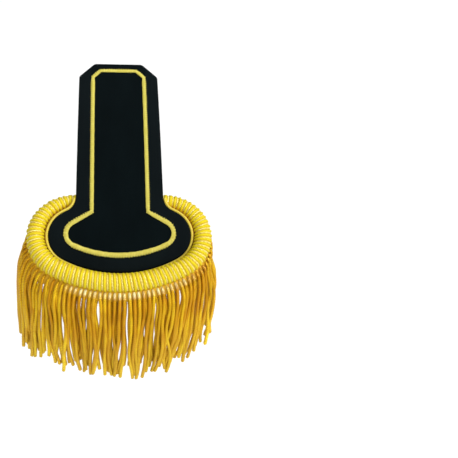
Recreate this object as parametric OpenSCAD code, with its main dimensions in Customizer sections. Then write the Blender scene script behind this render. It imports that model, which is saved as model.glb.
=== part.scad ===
// Fringed shoulder epaulette, as worn. The origin is at the underside of the board, at the centre
// of its oval pad. X runs across the shoulder board, Z is up, and the fringed end faces -Y.

/* [Board] */
// Width of the oval pad
pad_w = 94; // [84:1:104]
// Depth of the oval pad, front to back
pad_d = 51.4; // [48:0.2:56]
// Radius of the pad's round sides
pad_side_r = 18.2; // [16:0.2:20]
// Width of the strap at its neck, where it leaves the pad
strap_neck_w = 58.4; // [52:0.2:60]
// Width of the strap below its two cut corners
strap_end_w = 55; // [48:0.2:58]
// Length along the strap, from the pad's centre to the collar end
strap_len = 132.2; // [110:0.1:150]
// Length of each cut corner along the strap
corner_len = 11.5; // [6:0.1:16]
// Depth of each cut corner across the strap
corner_in = 10.7; // [6:0.1:16]
// Rounding of the cut corners
corner_r = 4; // [1:0.5:5]
// Radius of the hollow curve between the strap and the pad
neck_r = 10; // [8:0.5:12]
// Thickness of the covered board
board_t = 3; // [2:0.1:4]

/* [Pose on the shoulder] */
// Slope of the pad over the point of the shoulder, in degrees
pad_slope = 38; // [20:1:45]
// Length of flat board behind the pad's centre before the strap begins to bend
bend_start = 37.5; // [34:0.5:50]
// Radius of the strap's bend along its underside
bend_r = 394; // [300:1:800]

/* [Gold outline] */
// Width of the outline along the strap
line_w = 2.7; // [2:0.1:4]
// Width of the outline round the pad
loop_line_w = 3.4; // [3:0.1:5]
// Height of the raised stitching
line_h = 0.9; // [0.5:0.1:1.5]
// Outer width of the outline at the neck
line_neck_w = 40; // [34:0.2:44]
// Outer width of the outline below its cut corners
line_end_w = 38.3; // [34:0.1:44]
// Gap between the outline and the collar end of the board
line_end_margin = 5.4; // [3:0.1:8]
// Length of the outline's cut corners along the strap
line_corner_len = 6.5; // [4:0.1:10]
// Depth of the outline's cut corners across the strap
line_corner_in = 6; // [4:0.1:10]
// Distance of the outline's neck corners from the pad's centre
line_neck_y = 17; // [15:0.2:19]
// Outer width of the loop round the pad
loop_w = 74.6; // [68:0.2:80]
// Outer depth of the loop, twice its reach to the front
loop_d = 33.4; // [30:0.2:36]
// Radius of the loop's round sides
loop_side_r = 10.5; // [9:0.5:12]
// Shift of the loop's centre towards the collar
loop_y = 1; // [0:0.1:2]

/* [Edge cord] */
// Diameter of the thin cord round the pad's edge
cord_d = 2; // [1.4:0.1:2.2]
// Height of the cord's centre over the board's underside
cord_lift = 1.5; // [1:0.1:2]

/* [Crescent roll] */
// Width of the crescent, between the middles of the roll at its widest
roll_w = 111; // [108:0.2:116]
// Distance from the pad's centre to the middle of the roll in front
roll_front = 33.4; // [33.4:0.1:36]
// Radius of the crescent's sides
roll_side_r = 26; // [25:0.5:27]
// Distance along the roll from its front to each end
roll_reach = 118; // [110:1:122]
// Radius of the roll in front
roll_front_r = 6.5; // [5:0.1:6.6]
// Radius of the roll at its ends
roll_end_r = 5; // [4:0.1:5.1]
// Height of the roll's middle over the board's underside, in front
roll_front_lift = 6; // [5.5:0.1:8]
// Depth of the roll's middle under the board's underside, at its ends
roll_end_drop = 5.4; // [5.3:0.1:7]
// Distance from one wrapped rib to the next
rib_pitch = 3.1; // [3:0.1:4]
// Depth of the grooves between the ribs
rib_depth = 0.7; // [0.3:0.1:1]

/* [Fringe] */
// Number of locks in the fringe
lock_count = 50; // [40:2:54]
// Distance along the roll from its front to the last lock
fringe_reach = 86; // [70:1:92]
// Hanging length, from the middle of the roll to the tips
fringe_drop = 75; // [60:1:90]
// How far the hanging locks swing out past the roll
fringe_swing = 6; // [2:0.1:7]
// Thickness of the hanging fringe at its top
fringe_t = 5; // [3:0.1:6]

/* [Back pin] */
// Length of the pin's bar
pin_len = 38; // [30:1:44]
// Diameter of the pin's bar
pin_d = 1.4; // [1:0.1:2]
// Distance of the pin from the pad's centre, along the strap
pin_at = 66; // [50:1:100]
// Height of the pin's two end posts
pin_stand = 3.2; // [2.5:0.1:4]

/* [Hidden] */

// Small gaps between the pieces
line_gap = 0.08;
cord_gap = 0.15;
pin_gap = 0.1;
head_gap = 0.25;

// Height of the block that the flat outlines are cut from, and a length past every piece
block_low = -40;
block_h = 60;
far = 200;

// Lengths of the straight steps that stand in for round stretches
arc_step = 2.6;
cord_step = 3.4;
corner_step = 0.8;

// Numbers of sides of the round pieces
cord_sides = 6;
roll_sides = 12;
lock_sides = 6;
head_sides = 8;
pin_fn = 32;
bend_fn = 720;

// Part of its inset by which the outline's neck corner moves down
neck_share = 0.65;

// Shape of the roll's rise: how late its sides begin to drop
rise_power = 1.8;
rise_reach = 110;
taper_power = 3;

// Radius of the roll's closed tips, as a part of the roll's own
roll_tip = 0.5;

// Bar inside the fringe that its locks are fused to
head_r = 2;
head_steps = 28;
bead_w = 0.4;

// Width of a lock, as a part of the distance to the next one
lock_overlap = 1.15;

// Irregularities of the locks: sideways sway, length, and the turns that make them differ
sway_reach = 1.1;
sway_turns = [137, 50];
trim_reach = [2.4, 1.6];
trim_turns = [101, 47];

// Base plate of the back pin, with its width past the bar, and its two end posts
plate_past = 4;
plate_w = 6;
plate_t = 0.8;
post_w = 2.4;
post_d = 3;

// Four-centred oval: radius of its long arcs, and how far they turn on each side of the middle
function long_r(half_w, half_d, side_r) =
    (pow(half_w - side_r, 2) + pow(half_d, 2) - pow(side_r, 2)) / (2 * (half_d - side_r));
function long_turn(half_w, half_d, side_r) =
    atan2(half_w - side_r, long_r(half_w, half_d, side_r) - half_d);

// Points along an arc, in steps of about arc_step
function arc(centre, r, from, to, step = arc_step) =
    let (n = max(2, ceil(r * abs(to - from) * PI / 180 / step)))
    [for (i = [0:n]) let (a = from + (to - from) * i / n) centre + r * [cos(a), sin(a)]];

function mirrored(half) = concat(half, [for (i = [len(half) - 1:-1:0]) [-half[i].x, half[i].y]]);

// Plan position of a length measured along the bent strap
function bend_turn(s) = s < bend_start ? 0 : (s - bend_start) / bend_r * 180 / PI;
function plan_y(s) = s < bend_start ? s : bend_start + bend_r * sin(bend_turn(s));
function bend_fall(s) = bend_r * (1 - cos(bend_turn(s)));

// A point of the sloping pad, turned into the frame of the worn piece
function worn(p) = [
    p.x,
    p.y * cos(pad_slope) - p.z * sin(pad_slope),
    p.y * sin(pad_slope) + p.z * cos(pad_slope)
];
module worn() rotate([pad_slope, 0, 0]) children();

// Board outline
pad_long_r = long_r(pad_w / 2, pad_d / 2, pad_side_r);
pad_turn = long_turn(pad_w / 2, pad_d / 2, pad_side_r);
neck_x = strap_neck_w / 2 + neck_r;
neck_y = pad_d / 2 - pad_long_r + sqrt(pow(pad_long_r + neck_r, 2) - pow(neck_x, 2));
neck_turn = atan2(neck_y - pad_d / 2 + pad_long_r, neck_x);

// The pad's round edge from the front to the neck, moved out by grow
function pad_edge(grow, step = arc_step) = concat(
    arc([0, pad_long_r - pad_d / 2], pad_long_r + grow, -90, pad_turn - 90, step),
    arc([pad_w / 2 - pad_side_r, 0], pad_side_r + grow, pad_turn - 90, 90 - pad_turn, step),
    arc([0, pad_d / 2 - pad_long_r], pad_long_r + grow, 90 - pad_turn, neck_turn, step),
    arc([neck_x, neck_y], neck_r - grow, neck_turn + 180, 180, step)
);

// An arc of radius r in place of a corner between two straight edges
function rounded(before, corner, after, r) =
    let (
        u = (before - corner) / norm(before - corner),
        v = (after - corner) / norm(after - corner),
        half = acos(u * v) / 2,
        centre = corner + (u + v) / norm(u + v) * r / sin(half),
        from = corner + u * r / tan(half) - centre,
        to = corner + v * r / tan(half) - centre
    )
    arc(centre, r, atan2(from.y, from.x), atan2(to.y, to.x), corner_step);

function board_half() =
    let (
        neck = [strap_neck_w / 2, neck_y],
        below = [strap_end_w / 2, plan_y(strap_len - corner_len)],
        above = [strap_end_w / 2 - corner_in, plan_y(strap_len)]
    )
    concat(
        pad_edge(0),
        rounded(neck, below, above, corner_r),
        rounded(below, above, [0, above.y], corner_r)
    );

// Half of the gold outline, drawn in by inset along the strap and loop_inset round the pad
loop_half_w = loop_w / 2;
loop_half_d = loop_d / 2;
corner_turn = atan2(line_corner_in, line_corner_len);
line_top = strap_len - line_end_margin;

function line_half(inset, loop_inset) =
    let (
        half_w = loop_half_w - loop_inset,
        half_d = loop_half_d - loop_inset,
        side_r = loop_side_r - loop_inset,
        big_r = long_r(half_w, half_d, side_r),
        turn = long_turn(half_w, half_d, side_r),
        side = [half_w - side_r, loop_y],
        neck = [line_neck_w / 2 - inset, line_neck_y - inset * neck_share],
        reach = neck - side,
        leave = atan2(reach.y, reach.x) - acos(side_r / norm(reach))
    )
    concat(
        arc([0, loop_y + big_r - half_d], big_r, -90, turn - 90),
        arc(side, side_r, turn - 90, leave),
        [
            neck,
            [
                line_end_w / 2 - inset,
                plan_y(line_top - line_corner_len - inset * tan(corner_turn / 2))
            ],
            [
                line_end_w / 2 - line_corner_in - inset * tan(45 - corner_turn / 2),
                plan_y(line_top - inset)
            ]
        ]
    );

// The space between two heights over the bent board's underside
module bent_layer(low, high) {
    rotate([90, 0, 90])
        linear_extrude(height = 2 * far, center = true)
            union() {
                translate([-far, low])
                    square([far + bend_start, high - low]);
                intersection() {
                    translate([bend_start, -bend_r])
                        difference() {
                            circle(bend_r + high, $fn = bend_fn);
                            circle(bend_r + low, $fn = bend_fn);
                        }
                    translate([bend_start, -far / 2])
                        square([far, far]);
                }
            }
}

module block(outline) {
    translate([0, 0, block_low])
        linear_extrude(height = block_h)
            polygon(outline);
}

module board() {
    color([0.05, 0.07, 0.08])
        worn()
            intersection() {
                bent_layer(0, board_t);
                block(mirrored(board_half()));
            }
}

module face_line() {
    color([0.87, 0.8, 0.31])
        worn()
            intersection() {
                bent_layer(board_t + line_gap, board_t + line_gap + line_h);
                difference() {
                    block(mirrored(line_half(0, 0)));
                    block(mirrored(line_half(line_w, loop_line_w)));
                }
            }
}

// One ring of a swept cord: centre, outward direction in plan, radius
function ring(centre, out, r, sides) = [
    for (i = [0:sides - 1])
        let (a = 360 * i / sides)
        centre + r * [cos(a) * out.x, cos(a) * out.y, sin(a)]
];

// A closed skin over a row of rings, with flat ends
module skin(rings, sides) {
    last = len(rings) - 1;
    points = [for (row = rings) each row];
    walls = [
        for (k = [0:last - 1], i = [0:sides - 1])
            let (j = (i + 1) % sides, a = k * sides, b = a + sides)
            each [[a + i, b + i, b + j], [a + i, b + j, a + j]]
    ];
    ends = [
        [for (i = [0:sides - 1]) i],
        [for (i = [sides - 1:-1:0]) last * sides + i]
    ];
    polyhedron(points, concat(walls, ends));
}

// The cord's path: every point once, from the right neck round the front to the left neck
function stepped(points) = [
    for (i = [1:len(points) - 1])
        if (norm(points[i] - points[i - 1]) > cord_gap) points[i]
];
function cord_path() =
    let (
        half = pad_edge(cord_gap + cord_d / 2, cord_step),
        side = stepped(half)
    )
    concat(
        [for (i = [len(side) - 1:-1:0]) side[i]],
        [half[0]],
        [for (point = side) [-point.x, point.y]]
    );

module edge_cord() {
    path = cord_path();
    last = len(path) - 1;
    rings = [
        for (i = [0:last])
            let (
                way = path[min(i + 1, last)] - path[max(i - 1, 0)],
                out = [-way.y, way.x] / norm(way)
            )
            ring([path[i].x, path[i].y, cord_lift], out, cord_d / 2, cord_sides)
    ];
    color([0.85, 0.64, 0.2])
        worn()
            skin(rings, cord_sides);
}

// The crescent's middle line: signed distance d along it from the front
roll_half_w = roll_w / 2;
roll_long_r = long_r(roll_half_w, roll_front, roll_side_r);
roll_turn = long_turn(roll_half_w, roll_front, roll_side_r);
roll_front_arc = roll_long_r * roll_turn * PI / 180;

function roll_heading(d) = abs(d) < roll_front_arc
    ? abs(d) / roll_long_r * 180 / PI - 90
    : roll_turn - 90 + (abs(d) - roll_front_arc) / roll_side_r * 180 / PI;
function roll_out(d) = [(d < 0 ? -1 : 1) * cos(roll_heading(d)), sin(roll_heading(d))];
function roll_plan(d) = abs(d) < roll_front_arc
    ? [0, roll_long_r - roll_front] + roll_long_r * roll_out(d)
    : [sign(d) * (roll_half_w - roll_side_r), 0] + roll_side_r * roll_out(d);
function roll_rise(d) =
    let (t = pow(min(1, abs(d) / rise_reach), rise_power))
    roll_front_lift - (roll_front_lift + roll_end_drop) * (1 - cos(180 * t)) / 2;
function roll_r(d) =
    roll_front_r - (roll_front_r - roll_end_r) * pow(min(1, abs(d) / rise_reach), taper_power);
function roll_middle(d) = [roll_plan(d).x, roll_plan(d).y, roll_rise(d)];

module crescent_roll() {
    rib_count = 2 * round(roll_reach / rib_pitch);
    steps = 2 * rib_count;
    rings = [
        for (i = [0:steps])
            let (
                d = roll_reach * (1 - 2 * i / steps),
                end = (i == 0 || i == steps) ? roll_tip : 1,
                groove = i % 2 == 0 ? rib_depth : 0
            )
            ring(roll_middle(d), roll_out(d), end * (roll_r(d) - groove), roll_sides)
    ];
    color([0.93, 0.8, 0.15])
        worn()
            skin(rings, roll_sides);
}

// Level direction out of the roll, for what hangs from it
function level_out(d) =
    let (out = worn([roll_out(d).x, roll_out(d).y, 0]))
    [out.x, out.y, 0] / norm([out.x, out.y]);

// Rows of a hanging lock, from its root inside the fringe's head to its tip.
// Columns: part of the drop, reach past the roll's middle in roll radii, width, thickness
lock_rows = [
    [0.00, -0.70, 1.05, 0.60],
    [0.03, 0.25, 1.02, 0.60],
    [0.12, 1.00, 1.00, 0.85],
    [0.35, 1.00, 0.98, 1.00],
    [0.70, 1.00, 0.84, 0.85],
    [1.00, 1.00, 0.56, 0.55]
];
row_down = 0;
row_reach = 1;
row_width = 2;
row_thick = 3;
row_last = len(lock_rows) - 1;

// How the fringe falls from its left end to its right, in parts of its reach, drop and swing.
// Columns: place, length, swing past the roll at each of the last four lock rows, lean of the tip
fall_rows = [
    [-1.00, 1.040, -0.40, 0.10, 0.50, 0.70, 0.20],
    [-0.84, 1.050, 0.55, 1.12, 1.15, 1.10, 0.10],
    [-0.70, 1.030, 0.62, 0.98, 1.02, 1.05, 0.00],
    [-0.52, 0.985, 0.45, 0.75, 0.75, 0.60, 0.00],
    [-0.23, 0.990, 0.33, 0.60, 0.40, 0.15, -0.15],
    [0.18, 1.025, 0.33, 0.60, 0.40, 0.10, -0.35],
    [0.35, 1.010, 0.33, 0.60, 0.40, 0.10, -0.50],
    [0.60, 0.950, 0.15, 0.45, 0.50, 0.30, -1.30],
    [0.72, 0.930, -0.10, 0.55, 0.55, 0.45, -1.30],
    [0.80, 0.920, -0.20, 0.50, 0.50, 0.50, -1.00],
    [1.00, 0.895, -0.50, -0.10, 0.20, 0.30, -0.50]
];
fall_place = 0;
fall_length = 1;
fall_swing = 2;
fall_lean = 6;

// First lock row that swings out past the roll, and how late the tips begin to lean
swing_row = 2;
lean_power = 1.6;

function fall(d, column) =
    lookup(d / fringe_reach, [for (row = fall_rows) [row[fall_place], row[column]]]);
function swing(d, k) =
    k < swing_row ? 0 : fringe_swing * fall(d, fall_swing + k - swing_row);

lock_pitch = 2 * fringe_reach / (lock_count - 1);
lock_w = lock_overlap * lock_pitch;

// Small irregularities, so that no two neighbouring locks are alike
function sway(i, k) =
    let (d = -fringe_reach + i * lock_pitch)
    sway_reach * sin(i * sway_turns[0] + k * sway_turns[1]) * k / row_last
        + fringe_swing * fall(d, fall_lean) * pow(lock_rows[k][row_down], lean_power);
function trim(i) = trim_reach[0] * sin(i * trim_turns[0]) + trim_reach[1] * sin(i * trim_turns[1]);

// The fringe's head sits under the roll's inner side, deeper where the roll itself slopes
function roll_way(d) = worn(roll_middle(d + rib_pitch)) - worn(roll_middle(d - rib_pitch));
function head_in(d) = -lock_rows[0][row_reach] * roll_r(d);
function head_depth(d) =
    let (way = roll_way(d))
    sqrt(pow(roll_r(d) + head_gap + head_r, 2) - pow(head_in(d), 2))
        * norm(way) / norm([way.x, way.y]);

// Reach out of the roll's middle and depth under it, for row k of lock i
function lock_place(i, k) =
    let (
        d = -fringe_reach + i * lock_pitch,
        row = lock_rows[k],
        drop = fringe_drop * fall(d, fall_length) + trim(i) - head_depth(d)
    )
    [
        row[row_reach] * roll_r(d) + swing(d, k),
        -head_depth(d) - row[row_down] * drop
    ];

function lock_ring(i, k) =
    let (
        d = -fringe_reach + i * lock_pitch,
        row = lock_rows[k],
        out = level_out(d),
        along = [-out.y, out.x, 0],
        place = lock_place(i, k),
        way = lock_place(i, min(k + 1, row_last)) - lock_place(i, max(k - 1, 0)),
        across = (-way.y * out + [0, 0, way.x]) / norm(way),
        middle = worn(roll_middle(d)) + place.x * out + sway(i, k) * along + [0, 0, place.y]
    )
    [
        for (j = [0:lock_sides - 1])
            let (a = 360 * j / lock_sides)
            middle
                + row[row_width] * lock_w / 2 * cos(a) * along
                + row[row_thick] * fringe_t / 2 * sin(a) * across
    ];

module head_bead(k) {
    d = fringe_reach * (2 * k / head_steps - 1);
    out = level_out(d);
    translate(worn(roll_middle(d)) - head_in(d) * out - [0, 0, head_depth(d)])
        rotate([0, 0, atan2(out.y, out.x)])
            rotate([90, 0, 0])
                cylinder(r = head_r, h = bead_w, center = true, $fn = head_sides);
}

module fringe() {
    color([0.85, 0.62, 0.12])
        union() {
            for (k = [0:head_steps - 1])
                hull() {
                    head_bead(k);
                    head_bead(k + 1);
                }
            for (i = [0:lock_count - 1])
                skin([for (k = [0:row_last]) lock_ring(i, k)], lock_sides);
        }
}

// A plain bar pin on a base plate, against the underside of the strap
module back_pin() {
    plate_len = pin_len + plate_past;
    post_x = (plate_len - post_w) / 2;
    color([0.75, 0.75, 0.72])
        worn()
            translate([0, plan_y(pin_at), -bend_fall(pin_at)])
                rotate([-bend_turn(pin_at), 0, 0])
                    translate([0, 0, -pin_gap - plate_t])
                        union() {
                            translate([-plate_len / 2, -plate_w / 2, 0])
                                cube([plate_len, plate_w, plate_t]);
                            for (side = [-1, 1])
                                translate([side * post_x - post_w / 2, -post_d / 2, -pin_stand])
                                    cube([post_w, post_d, pin_stand + plate_t / 2]);
                            translate([0, 0, pin_d - pin_stand])
                                rotate([0, 90, 0])
                                    cylinder(d = pin_d, h = pin_len, center = true, $fn = pin_fn);
                        }
}

board();
face_line();
edge_cord();
crescent_roll();
fringe();
back_pin();
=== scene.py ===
"""Dresses the fringed epaulette: velvet board, stitched outline, wrapped roll and hanging fringe.

Lengths are in metres and angles in radians, in the frame of the worn piece: the origin is under the
board, at the centre of its oval pad, Z is up, and the fringed end faces -Y.
"""
import math
import random

import bmesh
import bpy
from bpy.props import FloatProperty, FloatVectorProperty, IntProperty, PointerProperty
from mathutils import Matrix, Vector, noise


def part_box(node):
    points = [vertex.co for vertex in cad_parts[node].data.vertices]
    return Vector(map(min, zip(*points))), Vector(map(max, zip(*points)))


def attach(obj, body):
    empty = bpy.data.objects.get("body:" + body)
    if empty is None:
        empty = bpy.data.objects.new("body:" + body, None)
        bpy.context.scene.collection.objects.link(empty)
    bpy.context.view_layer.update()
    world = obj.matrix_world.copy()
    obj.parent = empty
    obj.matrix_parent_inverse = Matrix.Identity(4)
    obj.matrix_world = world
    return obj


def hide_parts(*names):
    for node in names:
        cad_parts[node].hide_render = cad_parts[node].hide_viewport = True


bl_info = {
    "name": "Fringed Epaulette",
    "version": (1, 0, 0),
    "blender": (4, 5, 0),
    "location": "3D View > Sidebar > Epaulette",
    "description": "Dresses an epaulette's solids in velvet, stitching, gold cord and fringe",
    "category": "Object",
}

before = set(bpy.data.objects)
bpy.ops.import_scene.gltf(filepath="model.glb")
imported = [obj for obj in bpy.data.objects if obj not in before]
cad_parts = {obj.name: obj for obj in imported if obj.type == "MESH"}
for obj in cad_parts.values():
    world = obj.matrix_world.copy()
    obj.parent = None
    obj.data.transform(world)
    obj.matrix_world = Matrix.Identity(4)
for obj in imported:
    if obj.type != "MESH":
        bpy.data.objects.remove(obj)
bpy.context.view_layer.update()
BODY = "root"

# Whole width of the pad, from the board's solid
PAD_WIDTH = 2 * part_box("board")[1].x


def length(name, description, default):
    """A property that holds a length."""
    return FloatProperty(
        name=name, description=description, default=default, unit="LENGTH", subtype="DISTANCE", precision=5
    )


def turn(name, description, default):
    """A property that holds an angle, with its default in degrees."""
    return FloatProperty(
        name=name, description=description, default=math.radians(default), unit="ROTATION", subtype="ANGLE"
    )


def share(name, description, default):
    """A property that holds a part of a whole."""
    return FloatProperty(
        name=name, description=description, default=default, subtype="FACTOR", min=0.0, max=1.0
    )


def colour(name, description, default):
    """A property that holds a colour."""
    return FloatVectorProperty(
        name=name, description=description, default=default, subtype="COLOR", min=0.0, max=1.0
    )


class BoardSizes(bpy.types.PropertyGroup):
    """Sizes of the velvet board."""

    pad_width: length("Pad Width", "Width of the oval pad", PAD_WIDTH)
    pad_depth: length("Pad Depth", "Depth of the oval pad, front to back", 0.0514)
    side_radius: length("Side Radius", "Radius of the pad's round sides", 0.0182)
    neck_width: length("Neck Width", "Width of the strap where it leaves the pad", 0.0584)
    end_width: length("End Width", "Width of the strap below its cut corners", 0.055)
    strap_length: length("Strap Length", "From the pad's centre to the collar end, along the strap", 0.1322)
    corner_length: length("Corner Length", "Length of each cut corner along the strap", 0.0115)
    corner_inset: length("Corner Inset", "Depth of each cut corner across the strap", 0.0107)
    corner_round: length("Corner Round", "Rounding of the cut corners", 0.004)
    neck_radius: length("Neck Radius", "Radius of the hollow between strap and pad", 0.010)
    thickness: length("Thickness", "Thickness of the covered board", 0.003)
    edge_radius: length("Edge Radius", "Rounding of the velvet where it turns over the edge", 0.0009)
    slope: turn("Pad Slope", "Slope of the pad over the point of the shoulder", 38.0)
    bend_start: length("Bend Start", "Flat length behind the pad's centre", 0.0375)
    bend_radius: length("Bend Radius", "Radius of the strap's bend along its underside", 0.394)


class OutlineSizes(bpy.types.PropertyGroup):
    """Sizes of the stitched gold outline."""

    strap_line: length("Strap Line", "Width of the outline along the strap", 0.0027)
    loop_line: length("Loop Line", "Width of the outline round the pad", 0.0034)
    neck_width: length("Neck Width", "Outer width of the outline at the neck", 0.040)
    end_width: length("End Width", "Outer width of the outline below its cut corners", 0.0383)
    end_margin: length("End Margin", "Gap to the collar end of the board", 0.0054)
    corner_length: length("Corner Length", "Length of the outline's cut corners", 0.0065)
    corner_inset: length("Corner Inset", "Depth of the outline's cut corners", 0.006)
    neck_place: length("Neck Place", "From the pad's centre to the neck corners", 0.017)
    loop_width: length("Loop Width", "Outer width of the loop round the pad", 0.0746)
    loop_depth: length("Loop Depth", "Outer depth of the loop round the pad", 0.0334)
    side_radius: length("Side Radius", "Radius of the loop's round sides", 0.0105)
    loop_shift: length("Loop Shift", "Shift of the loop's centre towards the collar", 0.001)
    stitch_pitch: length("Stitch Pitch", "Distance from one stitch to the next", 0.00085)
    thread_radius: length("Thread Radius", "Radius of the embroidery thread", 0.00042)
    rise: length("Rise", "Height of the padding under the stitches", 0.00035)
    slant: turn("Slant", "Slant of the stitches across the outline", 16.0)
    tooth: share("Tooth", "How much every other stitch reaches out past the next", 0.22)
    ragged: share("Ragged", "How much the stitches differ in length", 0.10)


class CordSizes(bpy.types.PropertyGroup):
    """Sizes of the thin cord round the pad's edge."""

    diameter: length("Diameter", "Diameter of the cord", 0.002)
    lift: length("Lift", "Height of its centre over the board's underside", 0.0015)
    gap: length("Gap", "Gap to the board's edge", 0.00012)
    lay: length("Lay", "Length in which its plies turn once round", 0.0042)
    step: length("Step", "Distance between its cross-sections", 0.0004)


class RollSizes(bpy.types.PropertyGroup):
    """Sizes of the wrapped crescent roll."""

    width: length("Width", "Between the middles of the roll at its widest", 0.111)
    front: length("Front", "From the pad's centre to the middle of the roll in front", 0.0334)
    side_radius: length("Side Radius", "Radius of the crescent's sides", 0.026)
    reach: length("Reach", "From the front to each end, along the roll", 0.118)
    front_radius: length("Front Radius", "Radius of the roll in front", 0.0065)
    end_radius: length("End Radius", "Radius of the roll at its ends", 0.005)
    front_lift: length("Front Lift", "Height of its middle over the board's underside in front", 0.006)
    end_drop: length("End Drop", "Depth of its middle under the board's underside at the ends", 0.0054)
    rise_reach: length("Rise Reach", "Distance from the front in which the roll drops", 0.110)
    wrap_pitch: length("Wrap Pitch", "Distance from one wrapped rib to the next", 0.0031)
    wrap_radius: length("Wrap Radius", "Radius of the wrapped cord", 0.00098)
    thread_radius: length("Thread Radius", "Radius of the glinting thread between the ribs", 0.00066)
    thread_depth: length("Thread Depth", "Depth of that thread's middle under the roll's surface", 0.00088)
    thread_dip: length("Thread Dip", "How much deeper that thread lies under the roll than over it", 0.0013)
    waver: length("Waver", "How far the ribs stray along the roll", 0.0007)
    seam_lap: length("Seam Lap", "How far the seam strip reaches under the board", 0.0015)
    seam_thickness: length("Seam Thickness", "Thickness of the seam strip", 0.0005)


class FringeSizes(bpy.types.PropertyGroup):
    """Sizes of the hanging fringe."""

    reach: length("Reach", "From the front to the last strand, along the roll", 0.086)
    drop: length("Drop", "From the roll's middle to the tips", 0.075)
    swing: length("Swing", "How far the strands swing out past the roll where they swing most", 0.006)
    trim: share("Trim", "How much the strands differ in length", 0.04)
    strand_radius: length("Strand Radius", "Radius of a twisted strand", 0.00132)
    strand_pitch: length("Strand Pitch", "Distance from one strand to the next in the front row", 0.0029)
    back_pitch: length("Back Pitch", "Distance from one strand to the next in the rows behind it", 0.0027)
    row_gap: length("Row Gap", "Distance between one row and the next behind it", 0.0013)
    lay: length("Lay", "Length in which the plies of a strand turn once round", 0.0062)
    step: length("Step", "Distance between a strand's cross-sections", 0.0009)
    clump: length("Clump", "Width over which neighbouring strands lean alike", 0.011)
    arch: length("Arch", "How far a strand bows out below the roll in front", 0.0016)
    drift: length("Drift", "How far the tips of the strands lean aside", 0.006)
    wave: length("Wave", "Waviness of the strand that waves most", 0.0021)
    stray_lean: length("Stray Lean", "How far aside the strand that strays most leans", 0.004)
    heading_turn: turn("Heading Turn", "How far under the level the strands leave the roll", 46.0)
    heading_depth: share("Heading Depth", "Part of the drop that the band behind the tops covers", 0.08)
    heading_thickness: length("Heading Thickness", "Thickness of that band", 0.0006)
    seed: IntProperty(name="Seed", description="Seed of the strands' irregularities", default=7)


class FinishColours(bpy.types.PropertyGroup):
    """Colours of the finishes."""

    velvet: colour("Velvet", "Inner panel of the velvet", (0.0016, 0.0036, 0.0042))
    # The lighter velvet outside the outline is a painted sheen
    velvet_sheen_border: colour("Velvet Border", "Velvet outside the outline", (0.0034, 0.0056, 0.0064))
    stitching: colour("Stitching", "Light side of the embroidery thread", (0.79, 0.73, 0.20))
    # Stitching Shade is the thread's darker tone, and also its painted shade in the grooves
    stitching_shade: colour("Stitching Shade", "Dark side of the embroidery thread", (0.57, 0.50, 0.085))
    cord: colour("Cord", "Light side of the edge cord", (0.70, 0.57, 0.08))
    # Cord Shade is the cord's darker tone, and also its painted shade in the grooves
    cord_shade: colour("Cord Shade", "Dark side of the edge cord", (0.52, 0.35, 0.02))
    wrap: colour("Wrap", "Light side of the wrapped cord", (0.74, 0.62, 0.012))
    # Wrap Shade is the darker tone of the wrapped cord and glinting thread, and their painted shade in the
    # grooves
    wrap_shade: colour("Wrap Shade", "Dark side of the wrapped cord", (0.58, 0.38, 0.005))
    # The thread's pale cream is partly a painted highlight, standing for its glints
    thread: colour("Thread", "Glinting thread between the ribs", (0.95, 0.86, 0.24))
    # The padding's dark gold is painted shade, seen in the gaps between the ribs
    core: colour("Core", "Padding cloth under the wrapped cord", (0.58, 0.38, 0.02))
    fringe: colour("Fringe", "Light side of the fringe", (1.0, 0.75, 0.02))
    # Fringe Shade is the fringe's darker tone, and also its painted shade in the grooves
    fringe_shade: colour("Fringe Shade", "Dark side of the fringe", (0.55, 0.24, 0.003))
    # Fringe Top is a painted highlight on the bends of the strands' tops
    fringe_top_highlight: colour("Fringe Top", "Pale tops of the strands", (1.0, 0.96, 0.56))
    # Fringe Tip is painted light: the strands' lower ends are paler, as they are lit more
    fringe_tip_light: colour("Fringe Tip", "Paler tips of the strands", (1.0, 0.86, 0.12))
    # The band's dark gold is painted shade, seen in the gaps between the strands
    heading: colour("Heading", "Band behind the strands' tops", (0.66, 0.38, 0.014))
    # The strip's dark brown is painted shade in the crease between roll and board
    seam: colour("Seam", "Strip of cloth in the crease beside the roll", (0.50, 0.19, 0.012))
    gloss: colour("Gloss", "Tint of the gold yarns' gloss", (1.0, 0.86, 0.42))
    steel: colour("Steel", "Back pin", (0.62, 0.61, 0.58))


class StageSettings(bpy.types.PropertyGroup):
    """Camera, lights and floor."""

    azimuth: turn("Azimuth", "Turn of the camera round the epaulette", 1.08)
    elevation: turn("Elevation", "Height of the camera over the horizon", 35.0)
    roll: turn("Roll", "Turn of the camera about its own axis", 0.36)
    distance: length("Distance", "From the camera to its target", 0.625)
    target: FloatVectorProperty(
        name="Target", description="Point on the pad", default=(0.0, 0.002758, 0.002155), unit="LENGTH"
    )
    target_pixel: FloatVectorProperty(
        name="Target Pixel",
        description="Where the target falls in the picture",
        default=(120.07, 232.0),
        size=2,
    )
    focal_pixels: FloatProperty(name="Focal Length", description="Focal length in pixels", default=930.06)
    picture: IntProperty(name="Picture", description="Width of the square picture in pixels", default=458)
    floor_drop: length("Floor Drop", "Depth of the floor under the origin", 0.55)
    key: FloatProperty(name="Key Light", description="Strength of the upper right light", default=2.1)
    key_softness: turn("Key Softness", "Angle that the light at the upper right fills", 30.0)
    front: FloatProperty(name="Front Light", description="Strength of the light in front", default=0.95)
    front_softness: turn("Front Softness", "Angle that the light in front fills", 14.0)
    top: FloatProperty(name="Top Light", description="Power of the top light", default=1.2, unit="POWER")
    sky: FloatProperty(name="Sky", description="Strength of the white surroundings", default=0.52)


GROUPS = {
    "epaulette_board": BoardSizes,
    "epaulette_outline": OutlineSizes,
    "epaulette_cord": CordSizes,
    "epaulette_roll": RollSizes,
    "epaulette_fringe": FringeSizes,
    "epaulette_colours": FinishColours,
    "epaulette_stage": StageSettings,
}


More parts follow.
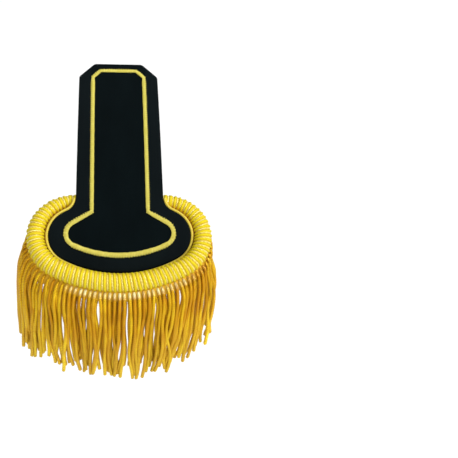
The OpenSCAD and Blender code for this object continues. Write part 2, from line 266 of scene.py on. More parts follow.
def sizes(name):
    """The scene's own group of that name."""
    return getattr(bpy.context.scene, "epaulette_" + name)


# Plan shapes, in the plane of the pad


def oval(half_width, half_depth, side_radius):
    """Radius of a four-centred oval's long arcs, and how far they turn from the middle."""
    long_radius = ((half_width - side_radius) ** 2 + half_depth**2 - side_radius**2) / (
        2 * (half_depth - side_radius)
    )
    return long_radius, math.atan2(half_width - side_radius, long_radius - half_depth)


def arc(centre, radius, start, end, count):
    """Points along an arc, with both of its ends."""
    return [
        Vector(centre) + radius * Vector((math.cos(a), math.sin(a)))
        for a in (start + (end - start) * i / count for i in range(count + 1))
    ]


def rounded(before, corner, after, radius, count):
    """An arc in place of the corner between two straight edges."""
    u = (before - corner).normalized()
    v = (after - corner).normalized()
    half = u.angle(v) / 2
    centre = corner + (u + v).normalized() * radius / math.sin(half)
    start = corner + u * radius / math.tan(half) - centre
    end = corner + v * radius / math.tan(half) - centre
    return arc(centre, radius, math.atan2(start.y, start.x), math.atan2(end.y, end.x), count)


def mirrored(points):
    """Plan points on the other side of the middle, in the same order."""
    return [Vector((-p.x, p.y)) for p in points]


def path_length(points):
    """Length of a row of points."""
    return sum((b - a).length for a, b in zip(points, points[1:]))


def without_doubles(points, gap=1e-5):
    """The points with each one that repeats the last left out."""
    kept = [points[0]]
    for point in points[1:]:
        if (point - kept[-1]).length > gap:
            kept.append(point)
    return kept


def spaced(points, step):
    """Points at even steps along a row of points, with both of its ends."""
    lengths = [0.0]
    for a, b in zip(points, points[1:]):
        lengths.append(lengths[-1] + (b - a).length)
    count = max(2, round(lengths[-1] / step))
    result = []
    k = 0
    for i in range(count + 1):
        s = lengths[-1] * i / count
        while k < len(points) - 2 and lengths[k + 1] < s:
            k += 1
        t = (s - lengths[k]) / (lengths[k + 1] - lengths[k])
        result.append(points[k].lerp(points[k + 1], min(1.0, t)))
    return result


class Board:
    """The board's plan and its bent, sloping surface."""

    # Steps in each arc of the pad's edge and in each rounded corner
    EDGE_STEPS = 24
    CORNER_STEPS = 6

    def __init__(self, group):
        self.group = group
        self.long_radius, self.long_turn = oval(group.pad_width / 2, group.pad_depth / 2, group.side_radius)
        self.slope = Matrix.Rotation(group.slope, 3, "X")

    def drop(self, y, height):
        """Height in the pad's frame of the level that lies that far over the bent underside."""
        past = y - self.group.bend_start
        if past <= 0:
            return height
        outer = self.group.bend_radius + height
        return math.sqrt(outer**2 - past**2) - self.group.bend_radius

    def place(self, x, y, height):
        """A plan point at a height over the underside, in the frame of the worn piece."""
        return self.slope @ Vector((x, y, self.drop(y, height)))

    def normal(self, y):
        """The direction out of the board's face."""
        past = max(0.0, y - self.group.bend_start)
        a = math.asin(past / (self.group.bend_radius + self.group.thickness))
        return self.slope @ Vector((0.0, math.sin(a), math.cos(a)))

    def plan_y(self, s):
        """Plan position of a length measured along the bent strap."""
        past = (s - self.group.bend_start) / self.group.bend_radius
        return s if past < 0 else self.group.bend_start + self.group.bend_radius * math.sin(past)

    def pad_edge(self, grow):
        """The pad's round edge from the front to the neck, moved out by grow."""
        g = self.group
        r, a = self.long_radius, self.long_turn
        right = math.pi / 2
        neck_x = g.neck_width / 2 + g.neck_radius
        neck_y = g.pad_depth / 2 - r + math.sqrt((r + g.neck_radius) ** 2 - neck_x**2)
        neck_turn = math.atan2(neck_y - g.pad_depth / 2 + r, neck_x)
        n = self.EDGE_STEPS
        return without_doubles(
            arc((0.0, r - g.pad_depth / 2), r + grow, -right, a - right, n)
            + arc((g.pad_width / 2 - g.side_radius, 0.0), g.side_radius + grow, a - right, right - a, n)
            + arc((0.0, g.pad_depth / 2 - r), r + grow, right - a, neck_turn, n)
            + arc((neck_x, neck_y), g.neck_radius - grow, neck_turn + math.pi, math.pi, n)
        )

    def outline(self, inset):
        """The whole board's outline, drawn in by inset, once round."""
        g = self.group
        below, above = self.cut_corner(
            g.end_width, g.strap_length, g.corner_length, g.corner_inset, inset
        )
        half = self.pad_edge(-inset)
        radius = g.corner_round - inset
        half += rounded(half[-1], below, above, radius, self.CORNER_STEPS)
        half += rounded(below, above, Vector((0.0, above.y)), radius, self.CORNER_STEPS)
        return half + mirrored(reversed(half[1:]))

    def cut_corner(self, width, reach, corner_length, corner_inset, inset):
        """The two ends of a cut corner of a strap that wide and long, drawn in by inset."""
        slant = math.atan2(corner_inset, corner_length) / 2
        below = Vector((width / 2 - inset, self.plan_y(reach - corner_length - inset * math.tan(slant))))
        side = width / 2 - corner_inset - inset * math.tan(math.pi / 4 - slant)
        return below, Vector((side, self.plan_y(reach - inset)))


class Crescent:
    """The roll's middle line, by signed distance from its front."""

    # How late the roll drops, and how late it thins, on its way from the front to its ends
    RISE_POWER = 1.8
    TAPER_POWER = 3

    def __init__(self, group, board):
        self.group = group
        self.slope = board.slope
        self.half_width = group.width / 2
        self.long_radius, self.long_turn = oval(self.half_width, group.front, group.side_radius)
        self.front_arc = self.long_radius * self.long_turn

    def out(self, d):
        """Direction out of the crescent, in plan."""
        if abs(d) < self.front_arc:
            a = abs(d) / self.long_radius - math.pi / 2
        else:
            a = self.long_turn - math.pi / 2 + (abs(d) - self.front_arc) / self.group.side_radius
        return Vector((math.copysign(math.cos(a), d), math.sin(a), 0.0))

    def plan(self, d):
        """Plan position of the roll's middle."""
        if abs(d) < self.front_arc:
            centre = Vector((0.0, self.long_radius - self.group.front, 0.0))
            return centre + self.long_radius * self.out(d)
        centre = Vector((math.copysign(self.half_width - self.group.side_radius, d), 0.0, 0.0))
        return centre + self.group.side_radius * self.out(d)

    def part(self, d):
        """How far d lies from the front towards the end of the drop, from 0 to 1."""
        return min(1.0, abs(d) / self.group.rise_reach)

    def rise(self, d):
        """Height of the roll's middle over the board's underside."""
        g = self.group
        t = self.part(d) ** self.RISE_POWER
        return g.front_lift - (g.front_lift + g.end_drop) * (1 - math.cos(math.pi * t)) / 2

    def radius(self, d):
        """Radius of the roll over its ribs."""
        g = self.group
        return g.front_radius - (g.front_radius - g.end_radius) * self.part(d) ** self.TAPER_POWER

    def middle(self, d):
        """The roll's middle, in the frame of the worn piece."""
        return self.slope @ (self.plan(d) + Vector((0.0, 0.0, self.rise(d))))

    def around(self, d, a, radius):
        """The point at angle a round the roll, from its outer side over its top."""
        return self.middle(d) + radius * (
            math.cos(a) * (self.slope @ self.out(d)) + math.sin(a) * (self.slope @ Vector((0.0, 0.0, 1.0)))
        )

    def level_out(self, d):
        """Level direction out of the roll, for what hangs from it."""
        out = self.slope @ self.out(d)
        return Vector((out.x, out.y, 0.0)).normalized()

    def steepness(self, d):
        """How much deeper than its radius the sloping roll reaches, straight down."""
        step = self.group.wrap_pitch
        way = self.middle(d + step) - self.middle(d - step)
        return way.length / Vector((way.x, way.y)).length

    def beside(self, d, under, distance):
        """The point at an angle under the level, out of the roll, for what hangs from it."""
        down = math.sin(under) * distance * self.steepness(d)
        return self.middle(d) + self.level_out(d) * math.cos(under) * distance - Vector((0.0, 0.0, down))


def stations(reach, step):
    """Signed distances from the roll's front, at even steps from one end to the other."""
    count = round(2 * reach / step)
    return [reach * (2 * i / count - 1) for i in range(count + 1)]


# Meshes


def placed(name, data):
    """A new object in the scene for a mesh, a light or a camera."""
    thing = bpy.data.objects.new(name, data)
    bpy.context.scene.collection.objects.link(thing)
    return thing


def finished(name, mesh, slot, material, *nodes):
    """Puts a mesh into the scene as a piece of the epaulette that stands for the named nodes."""
    piece = placed(name, mesh)
    mesh.materials.clear()
    mesh.materials.append(material)
    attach(piece, BODY)
    if nodes:
        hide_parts(*nodes)
    return piece


def smooth(mesh):
    """Shades every face of a mesh smoothly."""
    mesh.polygons.foreach_set("use_smooth", [True] * len(mesh.polygons))


def store_values(mesh, label, values):
    """Keeps a number for each point of a mesh."""
    mesh.attributes.new(label, "FLOAT", "POINT").data.foreach_set("value", values)


def store_vectors(mesh, label, vectors):
    """Keeps a vector for each point of a mesh."""
    layer = mesh.attributes.new(label, "FLOAT_VECTOR", "POINT")
    layer.data.foreach_set("vector", [c for vector in vectors for c in vector])


def loft(name, rings, closed=False):
    """A mesh skin over rings of points. It is joined end to end or closed with flat ends."""
    sides = len(rings[0])
    last = len(rings) if closed else len(rings) - 1
    faces = []
    for k in range(last):
        for i in range(sides):
            j = (i + 1) % sides
            a, b = k * sides, (k + 1) % len(rings) * sides
            faces.append((a + i, a + j, b + j, b + i))
    if not closed:
        faces.append(tuple(reversed(range(sides))))
        faces.append(tuple(last * sides + i for i in range(sides)))
    mesh = bpy.data.meshes.new(name)
    mesh.from_pydata([p for ring in rings for p in ring], [], faces)
    made = bmesh.new()
    made.from_mesh(mesh)
    bmesh.ops.recalc_face_normals(made, faces=made.faces)
    made.to_mesh(mesh)
    made.free()
    smooth(mesh)
    return mesh


class Rails:
    """Rows of points joined by edges, with the values that a swept cord reads at each of them."""

    # Thickness of a thin root in parts of the rest, and the length over which it grows
    ROOT_SHARE = 0.80
    ROOT_REACH = 0.009

    # Square of the least thickness at a strand's very tip, in parts of the rest
    TIP_SQUARE = 0.02

    def __init__(self):
        self.points = []
        self.edges = []
        self.along = []
        self.thick = []
        self.shade = []
        self.pale = []

    def add(self, points, radius, shade, pale=0.0, strand=False):
        """Adds one row. A strand has a thin root, and its end narrows over its last radius."""
        first = len(self.points)
        total = path_length(points)
        s = 0.0
        for i, point in enumerate(points):
            if i:
                s += (point - points[i - 1]).length
                self.edges.append((first + i - 1, first + i))
            left = total - s
            narrow = 1.0
            if strand:
                narrow = self.ROOT_SHARE + (1 - self.ROOT_SHARE) * min(1.0, s / self.ROOT_REACH)
            if strand and left < radius:
                narrow = math.sqrt(max(self.TIP_SQUARE, 1 - (1 - left / radius) ** 2))
            self.points.append(point)
            self.along.append(s)
            self.thick.append(radius * narrow)
            self.shade.append(shade)
            self.pale.append(pale)

    def source(self, name):
        """An object that holds the rows, for a node tree to work on."""
        mesh = bpy.data.meshes.new(name)
        mesh.from_pydata(self.points, self.edges, [])
        for label in ("along", "thick", "shade", "pale"):
            store_values(mesh, label, getattr(self, label))
        return placed(name, mesh)


# Node trees


def add(tree, kind, values=None, **settings):
    """A new node with its settings, and its inputs given as values or as other nodes' outputs."""
    node = tree.nodes.new(kind)
    for key, value in settings.items():
        setattr(node, key, value)
    for key, value in (values or {}).items():
        if isinstance(value, bpy.types.NodeSocket):
            tree.links.new(value, node.inputs[key])
        else:
            node.inputs[key].default_value = value
    return node


def math_node(tree, operation, *values):
    """The result of a maths node."""
    return add(tree, "ShaderNodeMath", dict(enumerate(values)), operation=operation).outputs[0]


def open_tree(name, kind, inputs, outputs):
    """A node group with its named sockets. Gives the tree and its two end nodes."""
    tree = bpy.data.node_groups.new(name, kind)
    for way, sockets in (("INPUT", inputs), ("OUTPUT", outputs)):
        for label, socket_type, value in sockets:
            socket = tree.interface.new_socket(label, in_out=way, socket_type=socket_type)
            if value is not None:
                socket.default_value = value
    return tree, tree.nodes.new("NodeGroupInput").outputs, tree.nodes.new("NodeGroupOutput")


def attribute(tree, label, data_type="FLOAT"):
    """A named value of the geometry, in a geometry tree."""
    return add(tree, "GeometryNodeInputNamedAttribute", {"Name": label}, data_type=data_type).outputs[0]


def ply_crown(tree, around, plies):
    """How high a cord stands in its plies at a share of its girth, from 0 in a groove to 1 on a ply."""
    turns = math_node(tree, "MULTIPLY", math_node(tree, "MULTIPLY", around, plies), math.pi)
    return math_node(tree, "ABSOLUTE", math_node(tree, "SINE", turns))


def round_profile(tree, sides, radius):
    """A closed round profile for a sweep, in a geometry tree."""
    values = {"Resolution": sides, "Radius": radius}
    return add(tree, "GeometryNodeCurvePrimitiveCircle", values, mode="RADIUS").outputs[0]


def close_tree(tree, end, geometry, material):
    """Ends a geometry tree with smooth, plain geometry in one material."""
    shaded = add(tree, "GeometryNodeSetShadeSmooth", {"Geometry": geometry}).outputs[0]
    plain = add(tree, "GeometryNodeRealizeInstances", {"Geometry": shaded}).outputs[0]
    dressed = add(tree, "GeometryNodeSetMaterial", {"Geometry": plain, "Material": material}).outputs[0]
    tree.links.new(dressed, end.inputs["Geometry"])
    return tree


def cord_tree():
    """Geometry nodes that sweep a twisted cord along every row of edges."""
    name = "Twisted Cord"
    if name in bpy.data.node_groups:
        return bpy.data.node_groups[name]
    geometry = ("Geometry", "NodeSocketGeometry", None)
    tree, start, end = open_tree(
        name,
        "GeometryNodeTree",
        [
            geometry,
            ("Sides", "NodeSocketInt", 12),
            ("Plies", "NodeSocketInt", 3),
            ("Groove", "NodeSocketFloat", 0.15),
            ("Lay", "NodeSocketFloat", 0.006),
            ("Material", "NodeSocketMaterial", None),
        ],
        [geometry],
    )
    ring = round_profile(tree, start["Sides"], 1.0)
    factor = add(tree, "GeometryNodeSplineParameter").outputs["Factor"]
    marked = add(
        tree, "GeometryNodeStoreNamedAttribute", {"Geometry": ring, "Name": "around", "Value": factor}
    ).outputs[0]
    hollow = math_node(tree, "SUBTRACT", 1.0, ply_crown(tree, factor, start["Plies"]))
    reach = math_node(tree, "SUBTRACT", 1.0, math_node(tree, "MULTIPLY", hollow, start["Groove"]))
    position = add(tree, "GeometryNodeInputPosition").outputs[0]
    scaled = add(tree, "ShaderNodeVectorMath", {0: position, "Scale": reach}, operation="SCALE").outputs[0]
    profile = add(tree, "GeometryNodeSetPosition", {"Geometry": marked, "Position": scaled}).outputs[0]
    rails = add(tree, "GeometryNodeMeshToCurve", {"Mesh": start["Geometry"]}).outputs[0]
    turns = math_node(tree, "DIVIDE", attribute(tree, "along"), start["Lay"])
    phase = math_node(tree, "ADD", turns, attribute(tree, "shade"))
    tilt = math_node(tree, "MULTIPLY", phase, 2 * math.pi)
    twisted = add(tree, "GeometryNodeSetCurveTilt", {"Curve": rails, "Tilt": tilt}).outputs[0]
    swept = add(
        tree,
        "GeometryNodeCurveToMesh",
        {"Curve": twisted, "Profile Curve": profile, "Scale": attribute(tree, "thick"), "Fill Caps": True},
    ).outputs[0]
    return close_tree(tree, end, swept, start["Material"])


# Pieces along a stitch, and sides round its thread
STITCH_STEPS = 6
STITCH_SIDES = 6

# How much darker the stitches that fall short are than those that reach out
TOOTH_SHADE = 0.5


def stitch_tree():
    """Geometry nodes that lay an arched stitch on every point."""
    geometry = ("Geometry", "NodeSocketGeometry", None)
    tree, start, end = open_tree(
        "Satin Stitches",
        "GeometryNodeTree",
        [
            geometry,
            ("Thread Radius", "NodeSocketFloat", 0.0003),
            ("Arch", "NodeSocketFloat", 0.0004),
            ("Unevenness", "NodeSocketFloat", 0.08),
            ("Seed", "NodeSocketInt", 3),
            ("Material", "NodeSocketMaterial", None),
        ],
        [geometry],
    )
    crown = math_node(tree, "MULTIPLY", start["Arch"], 2.0)
    middle = add(tree, "ShaderNodeCombineXYZ", {"Z": crown}).outputs[0]
    bow = add(
        tree,
        "GeometryNodeCurveQuadraticBezier",
        {"Resolution": STITCH_STEPS, "Start": (-0.5, 0.0, 0.0), "Middle": middle, "End": (0.5, 0.0, 0.0)},
    ).outputs[0]
    ring = round_profile(tree, STITCH_SIDES, start["Thread Radius"])
    stitch = add(
        tree, "GeometryNodeCurveToMesh", {"Curve": bow, "Profile Curve": ring, "Fill Caps": True}
    ).outputs[0]
    low = math_node(tree, "SUBTRACT", 1.0, start["Unevenness"])
    high = math_node(tree, "ADD", 1.0, start["Unevenness"])
    uneven = add(tree, "FunctionNodeRandomValue", {2: low, 3: high, "Seed": start["Seed"]}).outputs[1]
    span = math_node(tree, "MULTIPLY", attribute(tree, "span"), uneven)
    scale = add(tree, "ShaderNodeCombineXYZ", {"X": span, "Y": 1.0, "Z": uneven}).outputs[0]
    laid = add(
        tree,
        "GeometryNodeInstanceOnPoints",
        {
            "Points": start["Geometry"],
            "Instance": stitch,
            "Rotation": attribute(tree, "turn", "FLOAT_VECTOR"),
            "Scale": scale,
        },
    ).outputs[0]
    chance = add(tree, "FunctionNodeRandomValue", {2: 0.0, 3: 1.0, "Seed": start["Seed"]}).outputs[1]
    short = math_node(tree, "ADD", chance, TOOTH_SHADE)
    shade = math_node(tree, "MULTIPLY_ADD", attribute(tree, "tooth"), -TOOTH_SHADE, short)
    marked = add(
        tree,
        "GeometryNodeStoreNamedAttribute",
        {"Geometry": laid, "Name": "shade", "Value": shade},
        domain="INSTANCE",
    ).outputs[0]
    return close_tree(tree, end, marked, start["Material"])


def realized(source, tree, name, values):
    """The mesh that a node tree makes of a source object, which goes away."""
    modifier = source.modifiers.new(tree.name, "NODES")
    modifier.node_group = tree
    for item in tree.interface.items_tree:
        if item.in_out == "INPUT" and item.name in values:
            modifier[item.identifier] = values[item.name]
    shown = source.evaluated_get(bpy.context.evaluated_depsgraph_get())
    mesh = bpy.data.meshes.new_from_object(shown)
    if not mesh.polygons:
        raise RuntimeError(name + ": the node tree made no faces")
    mesh.name = name
    source.modifiers.remove(modifier)
    old = source.data
    bpy.data.objects.remove(source)
    bpy.data.meshes.remove(old)
    return mesh


def swept_cord(name, rails, material, sides, plies, groove, lay):
    """The mesh of a twisted cord along each of its rails."""
    values = {"Sides": sides, "Plies": plies, "Groove": groove, "Lay": lay, "Material": material}
    return realized(rails.source(name + "_paths"), cord_tree(), name, values)


# Finishes


# Patches in the tone of a yarn for each metre, and how far apart the patterns of two shades lie
PATCH_SCALE = 70.0
SHADE_SHIFT = 40.0

# What a yarn's patches, its fibres and its own shade bring to its darkness, and where that starts
PATCH_TONE, FIBRE_TONE, SHADE_TONE = 1.3, 0.7, 0.5
FIRST_TONE = -0.75

# Painted shade in the grooves between plies, and height of the fibres in parts of a ply's
GROOVE_SHADE = 0.4
FIBRE_RELIEF = 0.5

# Painted highlight on a strand's top: lengths from its root at which the pale, glossy top begins to fade
# and is gone, how strong its tint is and how much smoother it is. Where a top is painted pale it isn't gilt
TOP_START, TOP_END = 0.0032, 0.0062
TOP_SHARE = 0.95
TOP_GLOSS = 0.16

# Painted light on a strand's lower end: lengths from its root at which it begins to turn paler and is
# palest, and by how much it does
TIP_START, TIP_END = 0.030, 0.068
TIP_SHARE = 0.22

# Faint bluish sheen of the velvet's pile
SHEEN_TINT = (0.55, 0.62, 0.70, 1.0)

# Brushed patches and tufts of the velvet for each metre
BRUSH_SCALE = (60.0, 25.0, 25.0)
TUFT_SCALE = 2600.0

# Least brightness of a brushed patch, and what a full one adds
BRUSH_TONE, BRUSH_GAIN = 0.55, 0.9

# Height of the tufts, and that of the brushed patches in parts of it
TUFT_HEIGHT = 0.0003
BRUSH_RELIEF = 0.6

# Drawn grain of the steel for each metre, its least roughness, what the grain adds, and its dark lines
GRAIN_SCALE = (40.0, 2500.0, 2500.0)
STEEL_ROUGH, GRAIN_ROUGH = 0.18, 0.25
GRAIN_TONE = 0.8


def stored(tree, label, output="Fac"):
    """A value that the mesh holds, in a shader tree."""
    return add(tree, "ShaderNodeAttribute", attribute_name=label).outputs[output]


def patchy(tree, place, detail, scale=1.0):
    """Soft random patches, in a shader tree."""
    values = {"Vector": place, "Scale": scale, "Detail": detail}
    return add(tree, "ShaderNodeTexNoise", values).outputs["Fac"]


def blended(tree, factor, first, second):
    """A mixture of two colours, in a shader tree."""
    values = {"Factor": factor, 6: first, 7: second}
    return add(tree, "ShaderNodeMix", values, data_type="RGBA").outputs[2]


def yarn_group():
    """Shader group: spun yarn that follows a cord's own length and girth."""
    name = "Spun Yarn"
    if name in bpy.data.node_groups:
        return bpy.data.node_groups[name]
    tree, start, end = open_tree(
        name,
        "ShaderNodeTree",
        [
            ("Light", "NodeSocketColor", None),
            ("Dark", "NodeSocketColor", None),
            ("Plies", "NodeSocketFloat", 3.0),
            ("Fibres", "NodeSocketFloat", 18.0),
            ("Length Scale", "NodeSocketFloat", 300.0),
            ("Unevenness", "NodeSocketFloat", 0.5),
            ("Coils", "NodeSocketFloat", 900.0),
            ("Coil Depth", "NodeSocketFloat", 0.0),
        ],
        [("Color", "NodeSocketColor", None), ("Height", "NodeSocketFloat", None)],
    )
    along = stored(tree, "along")
    around = stored(tree, "around")
    shade = stored(tree, "shade")
    crown = ply_crown(tree, around, start["Plies"])
    shift = math_node(tree, "MULTIPLY", shade, SHADE_SHIFT)
    across = math_node(tree, "MULTIPLY", around, start["Fibres"])
    onward = math_node(tree, "MULTIPLY", along, start["Length Scale"])
    place = add(tree, "ShaderNodeCombineXYZ", {"X": across, "Y": onward, "Z": shift}).outputs[0]
    fibres = patchy(tree, place, detail=3.0)
    onward = math_node(tree, "MULTIPLY", along, PATCH_SCALE)
    place = add(tree, "ShaderNodeCombineXYZ", {"X": onward, "Y": shift}).outputs[0]
    patches = patchy(tree, place, detail=1.0)
    tone = math_node(tree, "MULTIPLY_ADD", fibres, FIBRE_TONE, FIRST_TONE)
    tone = math_node(tree, "MULTIPLY_ADD", patches, PATCH_TONE, tone)
    tone = math_node(tree, "MULTIPLY_ADD", shade, SHADE_TONE, tone)
    dark_share = math_node(tree, "MULTIPLY", tone, start["Unevenness"])
    # Painted shade: the yarn darkens in the grooves between its plies and in the hollows of its coils
    painted_shade = math_node(tree, "MULTIPLY", math_node(tree, "SUBTRACT", 1.0, crown), GROOVE_SHADE)
    turns = math_node(tree, "MULTIPLY_ADD", along, start["Coils"], around)
    coil = math_node(tree, "SINE", math_node(tree, "MULTIPLY", turns, 2 * math.pi))
    coil = math_node(tree, "MULTIPLY", math_node(tree, "MULTIPLY_ADD", coil, 0.5, 0.5), start["Coil Depth"])
    painted_shade = math_node(tree, "ADD", painted_shade, math_node(tree, "SUBTRACT", start["Coil Depth"], coil))
    mask = add(tree, "ShaderNodeClamp", {"Value": math_node(tree, "ADD", dark_share, painted_shade)}).outputs[0]
    tree.links.new(blended(tree, mask, start["Light"], start["Dark"]), end.inputs["Color"])
    relief = math_node(tree, "ADD", math_node(tree, "MULTIPLY_ADD", fibres, FIBRE_RELIEF, crown), coil)
    tree.links.new(relief, end.inputs["Height"])
    return tree


def principled(name, **values):
    """A material with one Principled shader, whose sockets are set by name. Gives both."""
    material = bpy.data.materials.new(name)
    material.use_nodes = True
    shader = material.node_tree.nodes["Principled BSDF"]
    for key, value in values.items():
        shader.inputs[key.replace("_", " ")].default_value = value
    return material, shader


def bump(tree, shader, height, distance):
    """Gives a shader a bump from a height."""
    node = add(tree, "ShaderNodeBump", {"Height": height, "Distance": distance, "Strength": 1.0})
    tree.links.new(node.outputs["Normal"], shader.inputs["Normal"])


def faded(tree, start, end, low, high):
    """A strength that changes along a cord, from one length to another."""
    along = stored(tree, "along")
    limits = {"Value": along, "From Min": start, "From Max": end, "To Min": low, "To Max": high}
    return add(tree, "ShaderNodeMapRange", limits).outputs[0]


def yarn_material(
    name, light, dark, plies, relief, unevenness=0.5, coil_depth=0.0, top=None, tip=None, **values
):
    """A glossy thread or cord of spun yarn, whose first stretch and last may be paler with painted light.
    """
    material, shader = principled(name, **values)
    tree = material.node_tree
    looks = {
        "Light": (*light, 1.0),
        "Dark": (*dark, 1.0),
        "Plies": float(plies),
        "Unevenness": unevenness,
        "Coil Depth": coil_depth,
    }
    yarn = add(tree, "ShaderNodeGroup", looks, node_tree=yarn_group())
    shown = yarn.outputs["Color"]
    # Painted light: the last stretch of a strand turns paler towards its tip
    if tip:
        shown = blended(tree, faded(tree, TIP_START, TIP_END, 0.0, TIP_SHARE), shown, (*tip, 1.0))
    # Painted highlight: a strand's top turns pale, smoother and less gilt, as strongly as its pale value
    # says
    if top:
        fade = faded(tree, TOP_START, TOP_END, TOP_SHARE, 0.0)
        fade = math_node(tree, "MULTIPLY", fade, stored(tree, "pale"))
        shown = blended(tree, fade, shown, (*top, 1.0))
        rough = math_node(tree, "MULTIPLY_ADD", fade, -TOP_GLOSS / TOP_SHARE, values["Roughness"])
        tree.links.new(rough, shader.inputs["Roughness"])
        gilt = math_node(tree, "MULTIPLY_ADD", fade, -values["Metallic"] / TOP_SHARE, values["Metallic"])
        tree.links.new(gilt, shader.inputs["Metallic"])
    tree.links.new(shown, shader.inputs["Base Color"])
    bump(tree, shader, yarn.outputs["Height"], relief)
    return material


def cloth_material(name, tint, roughness):
    """Plain cloth of yarn in one colour."""
    return yarn_material(name, tint, tint, plies=1, relief=0.0001, Roughness=roughness)


def velvet_material(colours, outline):
    """Short black pile with brushed patches, a little lighter by a painted sheen outside the outline."""
    material, shader = principled(
        "Velvet",
        Roughness=0.95,
        Specular_IOR_Level=0.03,
        Sheen_Weight=0.015,
        Sheen_Roughness=0.5,
        Sheen_Tint=SHEEN_TINT,
    )
    tree = material.node_tree
    plan = stored(tree, "plan", "Vector")
    parts = add(tree, "ShaderNodeSeparateXYZ", {"Vector": plan}).outputs
    strap = math_node(tree, "LESS_THAN", math_node(tree, "ABSOLUTE", parts["X"]), outline.end_width / 2)
    strap = math_node(tree, "MULTIPLY", strap, math_node(tree, "GREATER_THAN", parts["Y"], 0.0))
    squares = []
    for axis, span in (("X", outline.loop_width), ("Y", outline.loop_depth)):
        away = math_node(tree, "ABSOLUTE", math_node(tree, "DIVIDE", parts[axis], span / 2))
        squares.append(math_node(tree, "POWER", away, 2.0))
    loop = math_node(tree, "LESS_THAN", math_node(tree, "ADD", *squares), 1.0)
    inside = math_node(tree, "MAXIMUM", strap, loop)
    # Outside the outline the velvet is lighter by a painted sheen
    base = blended(tree, inside, (*colours.velvet_sheen_border, 1.0), (*colours.velvet, 1.0))
    stretched = add(tree, "ShaderNodeMapping", {"Vector": plan, "Scale": BRUSH_SCALE}).outputs[0]
    brushed = patchy(tree, stretched, detail=4.0)
    tufts = patchy(tree, plan, detail=2.0, scale=TUFT_SCALE)
    tone = math_node(tree, "MULTIPLY_ADD", brushed, BRUSH_GAIN, BRUSH_TONE)
    toned = add(tree, "ShaderNodeVectorMath", {0: base, "Scale": tone}, operation="SCALE").outputs[0]
    tree.links.new(toned, shader.inputs["Base Color"])
    height = math_node(tree, "ADD", tufts, math_node(tree, "MULTIPLY", brushed, BRUSH_RELIEF))
    bump(tree, shader, height, TUFT_HEIGHT)
    return material


def steel_material(colours):
    """Plain plated steel with a fine drawn grain."""
    material, shader = principled("Pin Steel", Metallic=1.0)
    tree = material.node_tree
    place = add(tree, "ShaderNodeTexCoord").outputs["Object"]
    drawn = add(tree, "ShaderNodeMapping", {"Vector": place, "Scale": GRAIN_SCALE}).outputs[0]
    grain = patchy(tree, drawn, detail=3.0)
    rough = math_node(tree, "MULTIPLY_ADD", grain, GRAIN_ROUGH, STEEL_ROUGH)
    tree.links.new(rough, shader.inputs["Roughness"])
    dark = tuple(GRAIN_TONE * c for c in colours.steel)
    tone = blended(tree, grain, (*dark, 1.0), (*colours.steel, 1.0))
    tree.links.new(tone, shader.inputs["Base Color"])
    return material


# Pieces


class EPAULETTE_OT_board(bpy.types.Operator):
    """Cover the board in velvet, turned over its edges"""

    bl_idname = "epaulette.board"
    bl_label = "Velvet Board"

    # Distance between the cuts across the strap at which it can bend
    CUT_STEP = 0.0025

    def execute(self, context):
        board = Board(sizes("board"))
        e, t = board.group.edge_radius, board.group.thickness
        quarter = e * (1 - math.sqrt(0.5))
        levels = [(e, 0.0), (quarter, quarter), (0.0, e), (0.0, t - e), (quarter, t - quarter), (e, t)]
        rings = [[Vector((p.x, p.y, height)) for p in board.outline(inset)] for inset, height in levels]
        mesh = loft("board_velvet", rings)
        made = bmesh.new()
        made.from_mesh(mesh)
        reach = board.plan_y(board.group.strap_length)
        y = board.group.bend_start
        while y < reach:
            geometry = made.verts[:] + made.edges[:] + made.faces[:]
            bmesh.ops.bisect_plane(made, geom=geometry, plane_co=(0.0, y, 0.0), plane_no=(0.0, 1.0, 0.0))
            y += self.CUT_STEP
        plan = [vertex.co.copy() for vertex in made.verts]
        for vertex in made.verts:
            vertex.co = board.place(*vertex.co)
        made.to_mesh(mesh)
        made.free()
        smooth(mesh)
        store_vectors(mesh, "plan", plan)
        velvet = velvet_material(sizes("colours"), sizes("outline"))
        finished("board_velvet", mesh, "velvet", velvet, "board")
        return {"FINISHED"}


# How far the neck's corners move towards the pad as the outline is drawn in, and the steps of its arcs
NECK_SHARE = 0.65
ARC_STEPS = 40


def outline_rungs():
    """Pairs of plan points on the outline's outer and inner edge, once round."""
    board = Board(sizes("board"))
    g = sizes("outline")
    top = board.group.strap_length - g.end_margin
    right = math.pi / 2

    def stretches(inset, loop_inset):
        half_width = g.loop_width / 2 - loop_inset
        half_depth = g.loop_depth / 2 - loop_inset
        side_radius = g.side_radius - loop_inset
        long_radius, a = oval(half_width, half_depth, side_radius)
        side = Vector((half_width - side_radius, g.loop_shift))
        neck = Vector((g.neck_width / 2 - inset, g.neck_place - inset * NECK_SHARE))
        reach = neck - side
        leave = math.atan2(reach.y, reach.x) - math.acos(side_radius / reach.length)
        front_centre = (0.0, g.loop_shift + long_radius - half_depth)
        front = arc(front_centre, long_radius, -right, a - right, ARC_STEPS)
        round_side = arc(side, side_radius, a - right, leave, ARC_STEPS)
        below, above = board.cut_corner(g.end_width, top, g.corner_length, g.corner_inset, inset)
        corners = [round_side[-1], neck, below, above, Vector((0.0, above.y))]
        return [front, round_side] + [list(ends) for ends in zip(corners, corners[1:])]

    rungs = []
    for outer, inner in zip(stretches(0.0, 0.0), stretches(g.strap_line, g.loop_line)):
        count = max(2, round((path_length(outer) + path_length(inner)) / 2 / g.stitch_pitch))
        step_outer = spaced(outer, path_length(outer) / count)
        step_inner = spaced(inner, path_length(inner) / count)
        rungs += list(zip(step_outer, step_inner))[:-1]
    top_rung = [Vector((0.0, point.y)) for point in rungs[-1]]
    return rungs + [top_rung] + [mirrored(rung) for rung in reversed(rungs[1:])]


